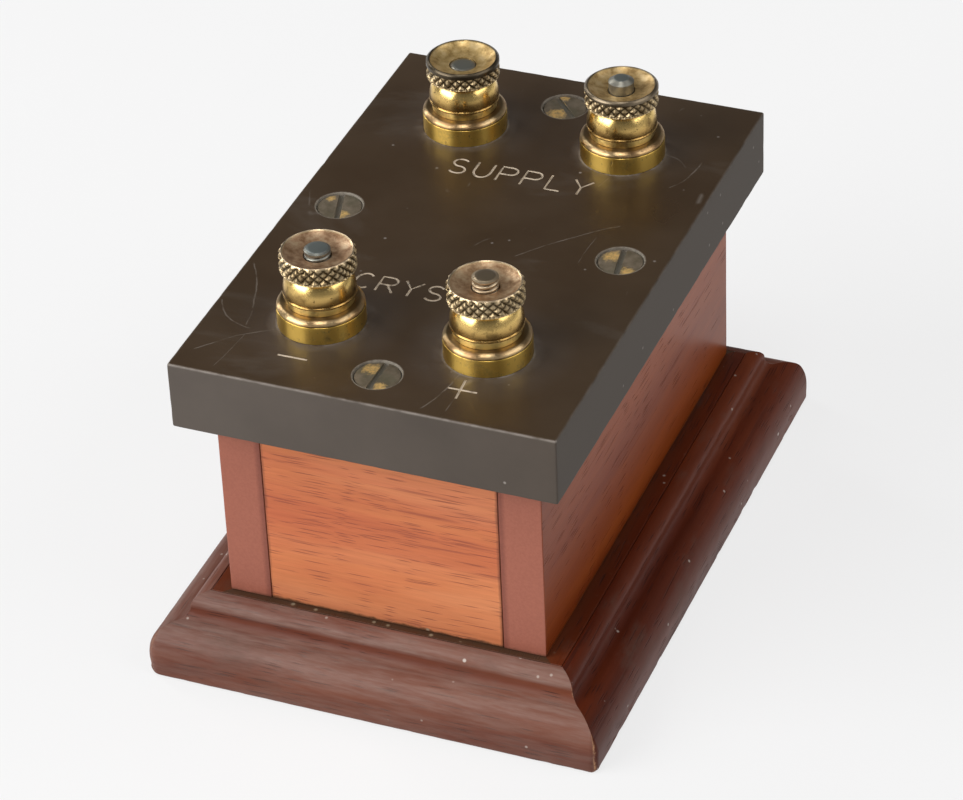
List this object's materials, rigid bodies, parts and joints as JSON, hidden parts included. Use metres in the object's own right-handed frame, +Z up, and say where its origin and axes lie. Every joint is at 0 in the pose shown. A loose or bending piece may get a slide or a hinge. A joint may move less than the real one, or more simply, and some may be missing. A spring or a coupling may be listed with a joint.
{
  "type": "crystal detector terminal box",
  "caption": "Small mahogany case on a moulded base, with a thick ebonite panel that carries four brass binding posts with knurled thumb nuts.",
  "frame": {"origin": "on the ground under the middle of the base", "axes": "+X to the right along the short side, +Y from front to back, +Z up; the front is the side with the minus and plus marks"},
  "size_m": [0.077, 0.1068, 0.0736],
  "materials": {
    "ebonite": "semi-gloss, scratched, browned with age",
    "mahogany_front": "orange mahogany with dark pores, waxed",
    "mahogany_side": "red-brown mahogany, french polished",
    "mahogany_base": "dark stained mahogany, polished, worn edges",
    "post_brass": "lacquered, turned, with tarnish in the corners",
    "nut_brass": "turned bell, tarnished diamond knurl",
    "stud_brass": "grey tarnished thread",
    "screw_brass": "dull, tarnished",
    "tinned_copper": "tinned copper, dull",
    "cotton_covering": "cotton-covered wire, matt",
    "red_fibre": "vulcanised fibre, satin",
    "waxed_mica": "waxed mica and foil stack"
  },
  "bodies": {
    "case": {"base_board": "mahogany_base", "base_moulding_front": "mahogany_base", "base_moulding_right": "mahogany_base", "base_moulding_back": "mahogany_base", "base_moulding_left": "mahogany_base", "left_wall": "mahogany_side", "right_wall": "mahogany_side", "front_wall": "mahogany_front", "back_wall": "mahogany_front", "panel": "ebonite", "panel_screw_front": "screw_brass", "panel_screw_back": "screw_brass", "panel_screw_left": "screw_brass", "panel_screw_right": "screw_brass", "base_screw_front_left": "screw_brass", "base_screw_front_right": "screw_brass", "base_screw_rear_left": "screw_brass", "base_screw_rear_right": "screw_brass", "post_base_front_left": "post_brass", "stud_front_left": "stud_brass", "panel_washer_front_left": "screw_brass", "hex_nut_front_left": "screw_brass", "solder_lug_front_left": "tinned_copper", "post_base_front_right": "post_brass", "stud_front_right": "stud_brass", "panel_washer_front_right": "screw_brass", "hex_nut_front_right": "screw_brass", "solder_lug_front_right": "tinned_copper", "post_base_rear_left": "post_brass", "stud_rear_left": "stud_brass", "panel_washer_rear_left": "screw_brass", "hex_nut_rear_left": "screw_brass", "solder_lug_rear_left": "tinned_copper", "post_base_rear_right": "post_brass", "stud_rear_right": "stud_brass", "panel_washer_rear_right": "screw_brass", "hex_nut_rear_right": "screw_brass", "solder_lug_rear_right": "tinned_copper", "choke_spool": "red_fibre", "choke_winding": "cotton_covering", "choke_screw": "screw_brass", "condenser_lower_bar": "screw_brass", "condenser_upper_bar": "screw_brass", "condenser_stack": "waxed_mica", "condenser_screw_left": "screw_brass", "condenser_screw_right": "screw_brass", "wire_rear_left_to_choke": "tinned_copper", "wire_choke_to_front_left": "tinned_copper", "wire_rear_right_to_front_right": "tinned_copper", "wire_condenser_to_front_left": "tinned_copper", "wire_condenser_to_front_right": "tinned_copper"},
    "front_left_clamp": {"clamp_washer_front_left": "post_brass"},
    "front_left_nut": {"thumb_nut_front_left": "nut_brass"},
    "front_right_clamp": {"clamp_washer_front_right": "post_brass"},
    "front_right_nut": {"thumb_nut_front_right": "nut_brass"},
    "rear_left_clamp": {"clamp_washer_rear_left": "post_brass"},
    "rear_left_nut": {"thumb_nut_rear_left": "nut_brass"},
    "rear_right_clamp": {"clamp_washer_rear_right": "post_brass"},
    "rear_right_nut": {"thumb_nut_rear_right": "nut_brass"}
  },
  "joints": [
    {"name": "front_left_nut_lift", "type": "slide", "parent": "case", "child": "front_left_clamp", "axis": [0, 0, 1], "range_m": [0, 0.00635]},
    {"name": "front_left_nut_turn", "type": "hinge", "parent": "front_left_clamp", "child": "front_left_nut", "pos_m": [-0.0138, -0.0304, 0.05925], "axis": [0, 0, 1], "range_deg": [0, 2880]},
    {"name": "front_right_nut_lift", "type": "slide", "parent": "case", "child": "front_right_clamp", "axis": [0, 0, 1], "range_m": [0, 0.00715]},
    {"name": "front_right_nut_turn", "type": "hinge", "parent": "front_right_clamp", "child": "front_right_nut", "pos_m": [0.0138, -0.0304, 0.05925], "axis": [0, 0, 1], "range_deg": [0, 3240]},
    {"name": "rear_left_nut_lift", "type": "slide", "parent": "case", "child": "rear_left_clamp", "axis": [0, 0, 1], "range_m": [0, 0.00476]},
    {"name": "rear_left_nut_turn", "type": "hinge", "parent": "rear_left_clamp", "child": "rear_left_nut", "pos_m": [-0.0138, 0.0297, 0.05925], "axis": [0, 0, 1], "range_deg": [0, 2160]},
    {"name": "rear_right_nut_lift", "type": "slide", "parent": "case", "child": "rear_right_clamp", "axis": [0, 0, 1], "range_m": [0, 0.00715]},
    {"name": "rear_right_nut_turn", "type": "hinge", "parent": "rear_right_clamp", "child": "rear_right_nut", "pos_m": [0.0138, 0.0297, 0.05925], "axis": [0, 0, 1], "range_deg": [0, 3240]}
  ],
  "couplings": [
    {"joint": "front_left_nut_lift", "follows": "front_left_nut_turn", "m_per_rad": 0.00012633},
    {"joint": "front_right_nut_lift", "follows": "front_right_nut_turn", "m_per_rad": 0.00012633},
    {"joint": "rear_left_nut_lift", "follows": "rear_left_nut_turn", "m_per_rad": 0.00012633},
    {"joint": "rear_right_nut_lift", "follows": "rear_right_nut_turn", "m_per_rad": 0.00012633}
  ]
}
